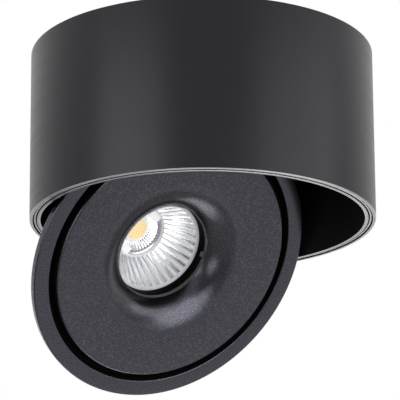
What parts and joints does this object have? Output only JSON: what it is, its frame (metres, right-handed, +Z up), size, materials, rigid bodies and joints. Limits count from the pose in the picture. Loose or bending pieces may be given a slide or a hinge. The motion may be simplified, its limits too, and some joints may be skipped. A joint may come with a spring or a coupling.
{
  "type": "surface-mounted downlight",
  "caption": "Black cylindrical ceiling downlight whose round spot head tilts out of the drum's mouth on arc-slotted plates and turns about the drum's axis.",
  "frame": {"origin": "centre of the ceiling plate, on the face that lies against the ceiling", "axes": "+Z up into the ceiling along the drum's axis, X along the head's tilt line and the two ceiling slots; the tilted head faces -Y and down"},
  "size_m": [0.14, 0.14, 0.1299],
  "materials": {
    "drum_black": "satin black coat, faintly brushed",
    "head_black": "fine textured black powder coat",
    "cup_black": "matt black inside, machined rim",
    "tube_black": "black anodised",
    "sink_black": "black anodised",
    "bare_aluminium": "machined",
    "zinc_steel": "zinc plated",
    "black_steel": "black oxide",
    "rubber_black": "moulded",
    "white_plastic": "moulded",
    "nylon": "natural",
    "brass": "turned",
    "reflector_silver": "vacuum metallised",
    "board_white": "white solder mask",
    "phosphor_yellow": "silicone with phosphor",
    "dam_white": "silicone",
    "pad_grey": "thermal pad"
  },
  "bodies": {
    "housing": {"housing_drum": "drum_black", "mounting_plate": "zinc_steel", "grub_screws": "black_steel", "cable_grommet": "rubber_black", "driver_case": "white_plastic", "driver_cover": "white_plastic", "driver_screws": "zinc_steel", "terminal_block": "white_plastic", "terminal_screws": "brass", "guide_ring": "bare_aluminium", "stop_stud": "zinc_steel"},
    "turntable": {"turntable_cup": "cup_black", "swivel_bush": "zinc_steel", "swivel_nut": "zinc_steel", "disc_spring": "zinc_steel", "friction_washer": "nylon", "tilt_bracket_right": "black_steel", "tilt_bracket_left": "black_steel", "guide_pins": "zinc_steel", "glide_washers": "nylon", "bracket_screws": "zinc_steel"},
    "head": {"bezel_ring": "head_black", "bezel_screws": "black_steel", "face_plate": "head_black", "baffle_tube": "tube_black", "reflector": "reflector_silver", "neck_ring": "reflector_silver", "cob_holder": "white_plastic", "holder_screws": "zinc_steel", "cob_board": "board_white", "cob_phosphor": "phosphor_yellow", "cob_dam": "dam_white", "thermal_pad": "pad_grey", "heat_sink": "sink_black", "sink_screws": "black_steel", "quadrant_right": "black_steel", "quadrant_left": "black_steel", "quadrant_screws": "zinc_steel"}
  },
  "joints": [
    {"name": "turntable_swivel", "type": "hinge", "parent": "housing", "child": "turntable", "pos_m": [0, 0, 0], "axis": [0, 0, 1], "range_deg": [-175, 175]},
    {"name": "head_tilt", "type": "hinge", "parent": "turntable", "child": "head", "pos_m": [0, 0, -0.09805], "axis": [1, 0, 0], "range_deg": [0, 52]}
  ]
}
